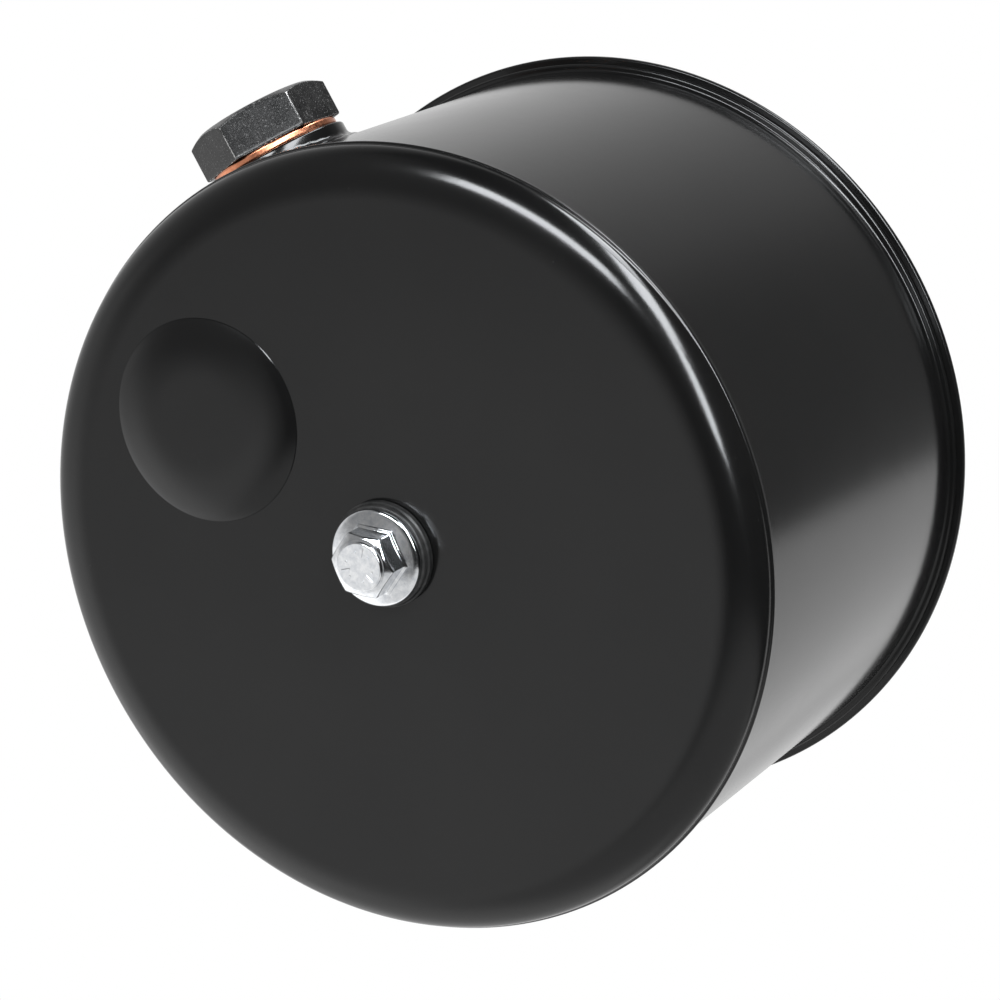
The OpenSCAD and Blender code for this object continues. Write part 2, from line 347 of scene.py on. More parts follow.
class Nodes:
    """Short calls for building the node tree of a material or of the world."""

    def __init__(self, tree):
        self.tree = tree
        tree.nodes.clear()

    def new(self, kind, inputs=None, **settings):
        made = self.tree.nodes.new("ShaderNode" + kind)
        for key, value in settings.items():
            setattr(made, key, value)
        for key, value in (inputs or {}).items():
            socket = made.inputs[key]
            if isinstance(value, bpy.types.NodeSocket):
                self.tree.links.new(value, socket)
            else:
                socket.default_value = value
        return made

    def place(self):
        return self.new("TexCoord").outputs["Object"]

    def noise(self, per_mm, detail=3.0, rough=0.5, where=None, distortion=0.0):
        """Noise with so many features per millimetre."""
        made = self.new("TexNoise", {"Vector": where or self.place(), "Scale": per_mm / MM,
                                     "Detail": detail, "Roughness": rough, "Distortion": distortion})
        return made.outputs["Fac"]

    def between(self, value, from_low, from_high, to_low=0.0, to_high=1.0, smooth=False):
        made = self.new("MapRange", {"Value": value, "From Min": from_low, "From Max": from_high,
                                     "To Min": to_low, "To Max": to_high})
        if smooth:
            made.interpolation_type = "SMOOTHSTEP"
        return made.outputs["Result"]

    def math(self, operation, a, b=0.0):
        return self.new("Math", {0: a, 1: b}, operation=operation).outputs["Value"]

    def mix(self, factor, a, b):
        made = self.new("MixRGB", {"Fac": factor, "Color1": a, "Color2": b})
        return made.outputs["Color"]

    def bump(self, height, distance_mm, strength=1.0, below=None):
        inputs = {"Height": height, "Distance": distance_mm * MM, "Strength": strength}
        if below:
            inputs["Normal"] = below
        return self.new("Bump", inputs).outputs["Normal"]

    def edge(self):
        return self.new("Attribute", attribute_name="edge").outputs["Fac"]

    def finish(self, **inputs):
        shader = self.new("BsdfPrincipled", {k.replace("_", " "): v for k, v in inputs.items()})
        self.new("OutputMaterial", {"Surface": shader.outputs["BSDF"]})


def material(name):
    made = bpy.data.materials.new(name)
    made.use_nodes = True
    return made, Nodes(made.node_tree)


def grey(value, warm=0.0):
    return (value * (1 + warm), value, value * (1 - warm), 1.0)


def black_paint():
    """Glossy black enamel with a faint orange peel, a fine grain and a little dust."""
    made, n = material("black_paint")
    patches = n.noise(0.03, 4.0)
    colour = n.mix(patches, grey(0.0015, -0.02), grey(0.0035, 0.03))
    dust = n.between(n.noise(3.4, 1.0, 0.5), 0.77, 0.82)
    colour = n.mix(n.math("MULTIPLY", dust, 0.3), colour, grey(0.06, 0.03))
    rough = n.between(n.noise(0.05, 5.0, 0.6), 0.3, 0.7, 0.12, 0.155)
    rough = n.math("ADD", rough, n.between(n.noise(3.0, 3.0, 0.7), 0.35, 0.75, 0.0, 0.04))
    peel = n.bump(n.noise(0.45, 2.0), 0.008)
    grain = n.bump(n.noise(5.0, 2.0, 0.6), 0.0022, 1.0, peel)
    n.finish(Base_Color=colour, Roughness=rough, IOR=1.36, Normal=grain)
    return made


def black_rubber():
    """Moulded rubber: dark, a little dusty, with a fine matt grain."""
    made, n = material("black_rubber")
    bloom = n.between(n.noise(0.4, 5.0, 0.65), 0.4, 0.75)
    colour = n.mix(bloom, grey(0.006), grey(0.018, 0.03))
    rough = n.between(n.noise(2.0, 3.0), 0.3, 0.7, 0.34, 0.46)
    n.finish(Base_Color=colour, Roughness=rough, IOR=1.33, Normal=n.bump(n.noise(6.0, 3.0), 0.006))
    return made


def copper():
    """Annealed copper: rosy, with patches of brown tarnish."""
    made, n = material("copper")
    tarnish = n.between(n.noise(0.35, 5.0, 0.6), 0.4, 0.7)
    colour = n.mix(tarnish, (0.62, 0.25, 0.14, 1.0), (0.34, 0.12, 0.06, 1.0))
    rough = n.between(n.noise(1.5, 4.0), 0.3, 0.7, 0.22, 0.36)
    n.finish(Base_Color=colour, Roughness=rough, Metallic=1.0, Normal=n.bump(n.noise(2.5, 3.0), 0.003))
    return made


def black_oxide():
    """Black oxide on forged steel: cloudy, pitted with bright specks, and rubbed bright on its edges."""
    made, n = material("black_oxide")
    cloud = n.noise(0.16, 6.0, 0.7)
    colour = n.mix(n.between(cloud, 0.35, 0.7), grey(0.004), grey(0.014, 0.02))
    specks = n.between(n.noise(3.0, 4.0, 0.75), 0.58, 0.72)
    colour = n.mix(n.math("MULTIPLY", specks, 0.6), colour, grey(0.22, 0.02))
    rubbed = n.between(n.math("ADD", n.edge(), n.noise(1.6, 4.0, 0.8)), 1.42, 1.58)
    colour = n.mix(rubbed, colour, grey(0.45, 0.02))
    rough = n.between(n.noise(0.8, 4.0, 0.7), 0.3, 0.7, 0.15, 0.22)
    normal = n.bump(n.noise(3.0, 4.0, 0.75), 0.012)
    n.finish(Base_Color=colour, Roughness=rough, Metallic=rubbed, IOR=1.25, Normal=normal)
    return made


def bright_zinc():
    """Bright zinc plate: light grey metal with a fine grain and slightly cloudy polish."""
    made, n = material("bright_zinc")
    cloud = n.noise(0.9, 5.0, 0.6)
    colour = n.mix(n.between(cloud, 0.35, 0.7), (0.74, 0.75, 0.76, 1.0), (0.56, 0.58, 0.61, 1.0))
    rough = n.between(n.noise(3.5, 4.0, 0.7), 0.3, 0.7, 0.07, 0.15)
    grain = n.bump(n.noise(5.0, 3.0, 0.6), 0.006)
    n.finish(Base_Color=colour, Roughness=rough, Metallic=1.0, Normal=grain)
    return made


def zinc_sheet():
    """Passivated zinc on pressed sheet: pale gold, with grey and rosy clouds."""
    made, n = material("zinc_sheet")
    cloud = n.noise(0.12, 5.0, 0.6, distortion=1.2)
    colour = n.mix(n.between(cloud, 0.35, 0.65), (0.72, 0.66, 0.48, 1.0), (0.60, 0.62, 0.60, 1.0))
    blush = n.between(n.noise(0.2, 4.0, 0.6, distortion=2.0), 0.55, 0.75, 0.0, 0.5)
    colour = n.mix(blush, colour, (0.62, 0.50, 0.42, 1.0))
    rough = n.between(n.noise(1.2, 5.0, 0.7), 0.3, 0.7, 0.26, 0.42)
    n.finish(Base_Color=colour, Roughness=rough, Metallic=1.0, Normal=n.bump(n.noise(3.0, 3.0), 0.012))
    return made


def spring_steel():
    """Oiled spring steel: cloudy, dark blue-grey."""
    made, n = material("spring_steel")
    cloud = n.noise(0.5, 5.0, 0.6)
    colour = n.mix(n.between(cloud, 0.3, 0.7), (0.20, 0.21, 0.24, 1.0), (0.36, 0.36, 0.37, 1.0))
    rough = n.between(n.noise(2.0, 4.0), 0.3, 0.7, 0.22, 0.38)
    n.finish(Base_Color=colour, Roughness=rough, Metallic=1.0, Normal=n.bump(n.noise(4.0, 3.0), 0.01))
    return made


def filter_paper():
    """Resin-treated filter paper: straw yellow and fibrous, with faint brown stains."""
    made, n = material("filter_paper")
    fibres = n.noise(1.8, 8.0, 0.75, distortion=1.5)
    colour = n.mix(n.between(fibres, 0.35, 0.7), (0.74, 0.58, 0.30, 1.0), (0.86, 0.74, 0.46, 1.0))
    stain = n.between(n.noise(0.06, 3.0), 0.5, 0.75, 0.0, 0.35)
    colour = n.mix(stain, colour, (0.55, 0.40, 0.18, 1.0))
    n.finish(Base_Color=colour, Roughness=0.78, Normal=n.bump(fibres, 0.05))
    return made


PAINT = black_paint()
RUBBER = black_rubber()
COPPER = copper()
OXIDE = black_oxide()
ZINC = bright_zinc()
ZINC_SHEET = zinc_sheet()
SPRING_STEEL = spring_steel()
PAPER = filter_paper()


# ---- the can ----

CAN_SEGMENTS = 240
DOME_SEGMENTS = 120


def dome_rise(share, step_h):
    """Height of the dome at a share of its radius: a flat crown that steepens towards its edge."""
    out = max(0.0, share - DOME_FLAT) / (1 - DOME_FLAT)
    return step_h + (DOME_H - step_h) * (1 - out ** 2)


def dome(skin, height, outside, shrink=0.0):
    """The dome as rings from its sharp step to its crown, and the loop where it meets the face."""
    step_w, step_h, rings = 0.13, 0.22, 18
    side = 1 if outside else -1
    radius = DOME_R - shrink
    profile = [(radius, 0.0), (radius - 0.35 * step_w, 0.35 * step_h),
               (radius - 0.75 * step_w, 0.8 * step_h), (radius - 1.6 * step_w, step_h)]
    profile += [(radius * k / rings, dome_rise(k / rings, step_h)) for k in range(rings - 1, -1, -1)]
    columns = []
    for i in range(DOME_SEGMENTS):
        c, s = cos(TURN * i / DOME_SEGMENTS), sin(TURN * i / DOME_SEGMENTS)
        columns.append([(DOME_AT.x + r * c, -DOME_AT.z + r * s, height - rise) for r, rise in profile])
    skin.columns(columns[::-side])
    return [column[0] for column in columns]


def cap_face(skin, radius, height, outside):
    """The flat closed face between its hole, its dome and the corner."""
    edge = dome(skin, height, outside, 0.0 if outside else 0.9 * SHEET)
    rim = circle(radius, CAN_SEGMENTS, height)
    hole = circle(CLEAR_R, 48, height)
    skin.flat([rim, hole, edge], (0, 0, -1 if outside else 1))


def soft_corner(radius, face_y, across, along, steps=18):
    """Run round the cap's corner, a quarter ellipse that is wider across the face than along the can."""
    run = []
    for k in range(steps + 1):
        c, s = cos(pi / 2 * k / steps), sin(pi / 2 * k / steps)
        normal = Vector((s / across, -c / along)).normalized()
        run.append((radius - across * (1 - s), face_y + along * (1 - c), normal.x, normal.y))
    return run


def end_cap():
    skin = Skin(TO_CAN_AXIS)
    inner_y = FACE_Y + SHEET
    neck_r = CAP_R - HEM_H
    cap_face(skin, neck_r - CORNER_R, FACE_Y, True)
    cap_face(skin, CAP_R - CORNER_R, inner_y, False)
    skin.turn(rounded([(CLEAR_R, inner_y), (CLEAR_R, FACE_Y)], closed=False), 48)
    outer_end, inner_end = FACE_Y + CORNER_LEN, inner_y + CORNER_LEN - SHEET
    skirt = rounded([(neck_r, outer_end), (neck_r, SKIRT_Y - HEM_W - 0.25, 0.5),
                     (CAP_R, SKIRT_Y - HEM_W, 0.4), (CAP_R, SKIRT_Y, 0.5), (SHELL_R, SKIRT_Y, 0.2),
                     (SHELL_R, inner_end)], closed=False, step=radians(12))
    inside = [(r, h, -nr, -nh) for r, h, nr, nh
              in soft_corner(SHELL_R, inner_y, CORNER_R - SHEET, CORNER_LEN - SHEET)]
    outside = soft_corner(neck_r, FACE_Y, CORNER_R, CORNER_LEN)
    skin.turn([outside, *skirt, inside], CAN_SEGMENTS)
    return skin.make("end_cap", "can", "black_paint", PAINT, "end_cap")


def on_shell(across, along, radius):
    """A point of the shell's surface, straight over (across, along) from the filler's centre."""
    angle = across / radius
    return Vector((radius * sin(angle), -radius * cos(angle), FILLER_Y + along))


def shell_wall(skin, radius, low_y, high_y, outside):
    """The shell's plain wall as a grid that opens into a round hole under the filler's boss."""
    hole_r, rings, reach = BOSS_R - 2, 4, 9
    pitch = TURN / CAN_SEGMENTS * radius
    rows = [low_y] + [FILLER_Y + pitch * k for k in range(-reach, reach + 1)] + [high_y]
    side = 1 if outside else -1
    for k in range(-CAN_SEGMENTS // 2, CAN_SEGMENTS // 2):
        for row, (near, far) in enumerate(zip(rows, rows[1:])):
            if -reach <= k < reach and 0 < row < len(rows) - 2:
                continue
            corners = [on_shell(pitch * a, h - FILLER_Y, radius) for a, h in
                       ((k, near), (k + 1, near), (k + 1, far), (k, far))]
            skin.face(corners, [side * Vector((p.x, p.y, 0)) / radius for p in corners])
    square = [(k, -reach) for k in range(-reach, reach)] + [(reach, k) for k in range(-reach, reach)]
    square += [(-a, -b) for a, b in square]
    spokes = []
    for a, b in square:
        edge = Vector((a, b)) * pitch
        rim = edge.normalized() * hole_r
        spokes.append([on_shell(*rim.lerp(edge, k / rings), radius) for k in range(rings + 1)])
    for i, spoke in enumerate(spokes):
        for near, far in zip(range(rings), range(1, rings + 1)):
            corners = [spokes[i - 1][near], spokes[i - 1][far], spoke[far], spoke[near]]
            skin.face(corners, [side * Vector((p.x, p.y, 0)) / radius for p in corners])
    return [spoke[0] for spoke in spokes]


def shell():
    skin = Skin(TO_CAN_AXIS)
    start_y = low("shell")[Y]
    neck_end = start_y + NECK_LEN
    lip_y = SHELL_Y - SHEET
    bend_y = lip_y - BEND_LEN
    bead = rounded([(SHELL_R, neck_end), (SHELL_R, BEAD_Y - BEAD_R, 0.1),
                    (SHELL_R + BEAD_R, BEAD_Y - BEAD_R, 0.35), (SHELL_R + BEAD_R, BEAD_Y + BEAD_R, 0.35),
                    (SHELL_R, BEAD_Y + BEAD_R, 0.15), (SHELL_R, BEAD_END_Y)], closed=False)
    outer = shell_wall(skin, SHELL_R, BEAD_END_Y, bend_y, True)
    inner = shell_wall(skin, SHELL_BORE_R, start_y, bend_y, False)
    skin.columns([[a, b] for a, b in zip(inner, outer)])
    spin = TURN / CAN_SEGMENTS * (CAN_SEGMENTS // 4)
    lip = rounded([(SHELL_R, bend_y), (SHELL_R, lip_y, 0.6), (LIP_R, lip_y, 0.48),
                   (LIP_R, SHELL_Y, 0.45), (SHELL_BORE_R, SHELL_Y), (SHELL_BORE_R, bend_y)],
                  closed=False, step=radians(8))
    skin.turn(lip + bead, CAN_SEGMENTS, spin)
    skin.turn(rounded([(SHELL_BORE_R, start_y), (SHELL_R - NECK, start_y), (SHELL_R, neck_end)],
                      closed=False), CAN_SEGMENTS, spin)
    return skin.make("shell", "can", "black_paint", PAINT, "shell")


def mounting_flange():
    groove = (O_RING_Y - O_RING_T / 2 - 0.15, O_RING_Y + O_RING_T / 2 + 0.15)
    plate_y = SHELL_Y
    corners = [(PILOT_R, SLEEVE_Y, 0.8), (SHELL_BORE_R, SLEEVE_Y, 0.3), (SHELL_BORE_R, plate_y, 0.2),
               (FLANGE_R, plate_y, 0.45), (FLANGE_R, 0, 0.45), (PILOT_R, 0, 0.7),
               (PILOT_R, groove[1], 0.15), (PILOT_R + O_RING_T, groove[1], 0.3),
               (PILOT_R + O_RING_T, groove[0], 0.3), (PILOT_R, groove[0], 0.15)]
    return turned_piece("mounting_flange", "can", "black_paint", PAINT, corners, CAN_SEGMENTS)


def mouth_o_ring():
    centre_r, r = PILOT_R + O_RING_T / 2, O_RING_T / 2
    skin = Skin(TO_CAN_AXIS)
    steps = 20
    skin.turn([[(centre_r + r * cos(a), O_RING_Y + r * sin(a), cos(a), sin(a))
                for a in (TURN * k / steps for k in range(steps + 1))]], 160)
    return skin.make("mouth_o_ring", "can", "black_rubber", RUBBER, "mouth_o_ring")


def cap_reinforcement():
    front, back, radius = FACE_Y + SHEET, high("cap_reinforcement")[Y], high("cap_reinforcement")[X]
    corners = [(CLEAR_R, front), (radius, front, 0.2), (radius, back, 0.7), (CLEAR_R + 3, back, 0.8),
               (CLEAR_R + 2.4, back - 0.5, 0.8), (CLEAR_R, back - 0.5, 0.3)]
    return turned_piece("cap_reinforcement", "can", "black_paint", PAINT, corners)


# ---- the filler ----

AT_FILLER = Matrix.Translation((0, FILLER_Y, 0))


def shell_height(r, angle):
    """Height of the shell's surface at a radius and angle round the filler's axis."""
    return sqrt(SHELL_R ** 2 - (r * cos(angle)) ** 2)


def filler_boss():
    skin = Skin(AT_FILLER)
    spokes, bead, inner_r = 120, 1.6, BOSS_R - 2
    crest = PLUG_THREAD["crest"] + THREAD_GAP
    columns = []
    for i in range(spokes):
        a = TURN * i / spokes
        ripple = 0.12 * sin(34 * a)
        column = [(BOSS_R + bead + ripple, shell_height(BOSS_R + bead + ripple, a) - 0.02)]
        for k in range(1, 6):
            turn = pi / 2 * k / 5
            r = BOSS_R + (bead + ripple) * (1 - sin(turn)) ** 1.2
            column.append((r, shell_height(BOSS_R, a) + (bead + ripple) * (1 - cos(turn)) * 0.8))
        column += [(BOSS_R, SEAT_Z - 0.4), (BOSS_R - 0.15, SEAT_Z - 0.12), (BOSS_R - 0.4, SEAT_Z),
                   (crest + 0.6, SEAT_Z), (crest, SEAT_Z - 0.6)]
        columns.append([(r * cos(a), r * sin(a), h) for r, h in column])
    skin.columns(columns)
    thread(skin, BOSS_BOTTOM_Z + 0.5, SEAT_Z - 0.6, THREAD_GAP, spokes=120, **PLUG_THREAD)
    skin.turn(rounded([(crest, BOSS_BOTTOM_Z + 0.5), (crest + 0.5, BOSS_BOTTOM_Z),
                       (inner_r, BOSS_BOTTOM_Z, 0.4), (inner_r, SHELL_R - 2)], closed=False), 120)
    return skin.make("filler_boss", "can", "black_paint", PAINT, "filler_boss")


def copper_washer():
    hole_r = PLUG_THREAD["crest"] + 0.25
    corners = [(hole_r, SEAT_Z, 0.2), (COPPER_R, SEAT_Z, 0.45), (COPPER_R, HEAD_Z, 0.45),
               (hole_r, HEAD_Z, 0.2)]
    return turned_piece("copper_washer", "plug_washer", "copper", COPPER, corners, 120, AT_FILLER)


def filler_plug():
    skin = Skin(Matrix.Translation((0, FILLER_Y, HEAD_Z)))
    head_h, crown_r, slope = PLUG_TOP_Z - HEAD_Z, 0.47 * PLUG_AF, 0.5
    thread_len = HEAD_Z - PLUG_TIP_Z
    columns = []
    for r, a in hexagon(PLUG_AF, PLUG_CORNER):
        shoulder = head_h - slope * (r - crown_r)
        column = [(r - 0.9, 0.0), (r - 0.35, 0.0), (r - 0.1, 0.1), (r, 0.35), (r, 0.75),
                  (r, shoulder - 0.6), (r, shoulder - 0.2), (r - 0.05, shoulder - 0.05),
                  (r - 0.2, shoulder + 0.08), (r - 0.45, shoulder + 0.22),
                  (crown_r + 0.12, head_h - 0.06), (crown_r - 0.25, head_h), (crown_r - 3.4, head_h),
                  (crown_r - 3.9, head_h - 0.3), (crown_r - 4.3, head_h - 0.4), (0, head_h - 0.4)]
        a += PLUG_TURN
        columns.append([(q * cos(a), q * sin(a), h) for q, h in column])
    weights = [0.0, 0.2, 1.0, 0.6, 0.0, 0.0, 0.3, 1.0, 0.6, 0.0, 0.15, 0.15, 0.0, 0.0, 0.0, 0.0]
    skin.columns(columns, weights)
    mark_corner_edges(skin, head_h)
    washer_face = [column[0] for column in columns]
    neck_r = PLUG_THREAD["root"]
    skin.flat([washer_face, circle(neck_r, 120)], (0, 0, -1))
    skin.turn(rounded([(neck_r, -1.2), (neck_r, 0)], closed=False), 120)
    thread(skin, -thread_len + 1.0, -1.2, spokes=120, **PLUG_THREAD)
    skin.turn(rounded([(0, -thread_len), (neck_r - 1, -thread_len, 0.3), (neck_r, -thread_len + 1)],
                      closed=False), 120)
    return skin.make("filler_plug", "plug", "black_oxide", OXIDE, "filler_plug")


def mark_corner_edges(skin, head_h):
    """Marks the plug's six upright edges as rubbed."""
    corner_r = PLUG_AF / sqrt(3) - PLUG_CORNER / cos(pi / 6) + PLUG_CORNER
    for i, p in enumerate(skin.points):
        local = p - skin.place.translation
        if hypot(local.x, local.y) > corner_r - 0.03 and 0.1 < local.z < head_h:
            skin.weights[i] = 1.0


# ---- the centre bolt ----

def bolt_seal_washer():
    corners = [(CLEAR_R, SEAL_Y, 0.3), (SEAL_R - 0.5, SEAL_Y, 0.45), (SEAL_R - 0.3, SEAL_Y + 1.0, 0.3),
               (SEAL_R, SEAL_Y + 1.3, 0.25), (SEAL_R, FACE_Y, 0.45), (CLEAR_R, FACE_Y, 0.3)]
    return turned_piece("bolt_seal_washer", "bolt_stack", "black_rubber", RUBBER, corners, 120)


def bolt_head(skin):
    """The flanged hexagon head, from its bearing face to its round pad."""
    cone_low, cone_slope, slope = 1.2, 0.28, 0.55
    crown_r, pad_r, pad_h = 0.91 * BOLT_AF / 2, 4.55, BOLT_HEAD_H - 0.1
    top = BOLT_HEAD_H - 0.5
    flange = [(3.0, 0.0), (BOLT_FLANGE_R - 0.4, 0.0), (BOLT_FLANGE_R - 0.12, 0.12),
              (BOLT_FLANGE_R, 0.4), (BOLT_FLANGE_R, 0.9), (BOLT_FLANGE_R - 0.08, 1.12),
              (BOLT_FLANGE_R - 0.3, 1.27), (BOLT_FLANGE_R - 0.6, 1.37), (7.9, 1.48)]
    marks_turn = BOLT_TURN + 0.35
    columns = []
    for r, a in hexagon(BOLT_AF, 0.4, flat_steps=12, arc_steps=5):
        foot = cone_low + cone_slope * (BOLT_FLANGE_R - r)
        shoulder = top - slope * (r - crown_r)
        column = flange + [(r + 0.62, foot - 0.26), (r + 0.56, foot - 0.04), (r + 0.47, foot + 0.04),
                           (r + 0.16, foot + 0.1), (r + 0.03, foot + 0.22), (r, foot + 0.5),
                           (r, shoulder - 0.25),
                           (r - 0.03, shoulder - 0.1), (r - 0.12, shoulder + 0.02),
                           (r - 0.28, shoulder + 0.12), (crown_r, top - 0.02),
                           (pad_r + 0.2, top), (pad_r + 0.05, top + 0.05), (pad_r, top + 0.15),
                           (pad_r - 0.04, pad_h - 0.12), (pad_r - 0.15, pad_h - 0.02),
                           (pad_r - 0.3, pad_h)]
        a += BOLT_TURN
        columns.append([(q * cos(a), q * sin(a), h) for q, h in column])
    skin.columns(columns)
    skin.flat([[column[-1] for column in columns]], (0, 0, 1))
    for k in range(3):
        bar(skin, marks_turn + TURN * k / 3, 1.9, 3.7, 0.42, pad_h)
    for k in range(6):
        a = marks_turn + TURN * (k + 0.5) / 6
        stud(skin, 2.7 * cos(a), 2.7 * sin(a), 0.22, pad_h)


def bar(skin, angle, inner, outer, width, base):
    """A raised radial grade mark."""
    along = Vector((cos(angle), sin(angle), 0))
    across = Vector((-sin(angle), cos(angle), 0))
    loops = []
    for rise, shrink in ((-0.05, 0.0), (0.05, 0.03), (0.09, 0.12)):
        loops.append([along * r + across * w + Vector((0, 0, base + rise)) for r, w in
                      ((inner + shrink, -width / 2 + shrink), (outer - shrink, -width / 2 + shrink),
                       (outer - shrink, width / 2 - shrink), (inner + shrink, width / 2 - shrink))])
    skin.columns([list(column) for column in zip(*loops)])
    skin.face(loops[-1])


def stud(skin, x, y, radius, base):
    """A small raised dot."""
    loops = [circle(radius * share, 16, base + rise, (x, y))
             for share, rise in ((1.0, -0.05), (0.95, 0.04), (0.6, 0.085))]
    skin.columns([list(column) for column in zip(*loops)])
    skin.face(loops[-1])


def clip_groove(y):
    """Outline of a clip's groove in the shank, at a distance from the head's bearing face."""
    end = y + CLIP_GROOVE_W
    return [(SHANK_R, y, 0.08), (CLIP_GROOVE_R, y, 0.1), (CLIP_GROOVE_R, end, 0.1),
            (SHANK_R, end, 0.08)]


def through_bolt():
    skin = Skin(Matrix.Translation((0, SEAL_Y, 0)) @ TO_HEAD_SIDE)
    bolt_head(skin)
    skin.place = Matrix.Translation((0, SEAL_Y, 0)) @ TO_CAN_AXIS
    length = BOLT_TIP_Y - SEAL_Y
    thread_start = length - BOLT_THREAD_LEN
    root = BOLT_THREAD["root"]
    front_groove = low("front_clip")[Y] - SEAL_Y
    rear_groove = low("rear_clip")[Y] - SEAL_Y
    shank = [(BOLT_FLANGE_R - 0.4, 0), (SHANK_R + 0.5, 0), (SHANK_R, 0.5, 0.5)]
    shank += clip_groove(front_groove) + clip_groove(rear_groove)
    shank += [(SHANK_R, thread_start - 0.4, 0.1), (root, thread_start)]
    skin.turn(rounded(shank, closed=False), 72)
    thread(skin, thread_start, length - 1.0, spokes=72, **BOLT_THREAD)
    skin.turn(rounded([(root, length - 1.0), (root - 0.6, length, 0.15), (0, length)],
                      closed=False), 72)
    return skin.make("through_bolt", "bolt", "zinc", ZINC, "through_bolt")


# ---- the filter ----

def spring_seat():
    front, back = low("spring_seat")[Y], low("filter_spring")[Y]
    outer, rim = high("spring_seat")[X], high("spring_seat")[Y]
    corners = [(CLEAR_R, front, 0.15), (outer, front, 1.4), (outer, rim, 0.35),
               (outer - SHEET, rim, 0.3), (outer - SHEET, back, 0.45), (CLEAR_R + 4, back, 0.5),
               (CLEAR_R, back, 0.15)]
    return turned_piece("spring_seat", "bolt_stack", "zinc_sheet", ZINC_SHEET, corners)


def filter_spring():
    """Coil with closed, ground ends."""
    start, end = low("filter_spring")[Y], high("filter_spring")[Y]
    wire, turns, per_turn, sides = 1.8, 6, 36, 14
    closed_turns, press = 0.9, 0.55               # turns laid flat at each end, and how far they rise
    coil_r = high("filter_spring")[X] - wire / 2
    steps = turns * per_turn
    free = (end - start) - wire - 2 * closed_turns * wire * press
    skin = Skin(TO_CAN_AXIS)
    rings = []
    for i in range(steps + 1):
        t = i / per_turn
        eased = min(1, max(0, (t - closed_turns) / (turns - 2 * closed_turns)))
        laid = min(t, closed_turns) + max(0.0, t - turns + closed_turns)
        centre = start + wire / 2 + laid * wire * press + free * eased
        c, s = cos(TURN * t), sin(TURN * t)
        ring = []
        for k in range(sides):
            w = TURN * k / sides
            r, h = coil_r + wire / 2 * cos(w), centre + wire / 2 * sin(w)
            ring.append((r * c, r * s, min(max(h, start), end)))
        rings.append(ring + ring[:1])
    skin.columns(rings, closed=False)
    skin.face(rings[0][:-1][::-1])
    skin.face(rings[-1][:-1])
    piece = skin.make("filter_spring", "bolt_stack", "spring_steel", SPRING_STEEL, "filter_spring")
    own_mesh(piece)
    return piece


def end_plate(name, hole_r, plate_y, rim_y, outward):
    """Pressed end plate of the filter: a rim round its edge and a stiffening bead."""
    def at(h):
        return plate_y - outward * h
    depth = abs(rim_y - plate_y)
    bead_r = 0.72 * FILTER_R
    corners = [(hole_r, at(0), 0.2), (bead_r - 3, at(0), 1.5), (bead_r - 2, at(0.45), 1.0),
               (bead_r + 2, at(0.45), 1.0), (bead_r + 3, at(0), 1.5), (FILTER_R, at(0), 1.8),
               (FILTER_R, at(depth), 0.3), (FILTER_R - 0.8, at(depth), 0.3),
               (FILTER_R - 0.8, at(0.8), 1.0), (hole_r, at(0.8), 0.2)]
    if outward > 0:
        corners.reverse()
    return turned_piece(name, "filter_pack", "zinc_sheet", ZINC_SHEET, corners, 144)


def bolt_grommet():
    inner, outer = SHANK_R + 0.1, CLEAR_R + 1.6
    front, back = low("bolt_grommet")[Y], high("bolt_grommet")[Y]
    seat = back - 0.8
    corners = [(inner, front, 0.25), (outer, front, 0.3), (outer, seat, 0.1),
               (high("bolt_grommet")[X], seat, 0.3), (high("bolt_grommet")[X], back, 0.35),
               (inner, back, 0.25)]
    return turned_piece("bolt_grommet", "filter_pack", "black_rubber", RUBBER, corners, 64)


def filter_media():
    """Pleated paper: one folded band, a little uneven from pleat to pleat."""
    start, end = low("filter_media")[Y] + 0.05, high("filter_media")[Y] - 0.05
    inner, outer, paper, across = TUBE_R + 0.7, MEDIA_R - 0.5, 0.55, 12
    folds = []
    count = PLEATS * across
    for i in range(count):
        fold = i / across
        wave = abs((fold + 0.5) % 1.0 - 0.5) * 2
        r = inner + (outer - inner) * (1 - wave)
        a = TURN * fold / PLEATS + 0.012 * sin(fold * 5.1) * (r / outer)
        r -= 0.25 * (0.5 + 0.5 * sin(fold * 2.7)) * (1 - wave)
        folds.append((r * cos(a), r * sin(a)))
    band = []
    for i, p in enumerate(folds):
        along = Vector(folds[(i + 1) % count]) - Vector(folds[i - 1])
        side = Vector((along.y, -along.x)).normalized() * paper / 2
        band.append((Vector(p) + side, Vector(p) - side))
    skin = Skin(TO_CAN_AXIS)
    outside = [[(p.x, p.y, start), (p.x, p.y, end)] for p, _ in band]
    inside = [[(p.x, p.y, start), (p.x, p.y, end)] for _, p in band]
    skin.columns(outside)
    skin.columns(inside[::-1])
    skin.columns([[a[1], b[1]] for a, b in zip(outside, inside)])
    skin.columns([[a[0], b[0]] for a, b in zip(outside, inside)][::-1])
    return skin.make("filter_media", "filter_pack", "filter_paper", PAPER, "filter_media")


def filter_seal():
    front, back = low("filter_seal")[Y], high("filter_seal")[Y]
    outer = high("filter_seal")[X]
    middle = (OUTLET_R + outer) / 2
    corners = [(OUTLET_R, front, 0.2), (outer, front, 0.2), (outer, back - 0.7, 0.3),
               (middle + 1, back, 0.4), (middle - 1, back, 0.4), (OUTLET_R, back - 0.7, 0.3)]
    return turned_piece("filter_seal", "filter_pack", "black_rubber", RUBBER, corners)


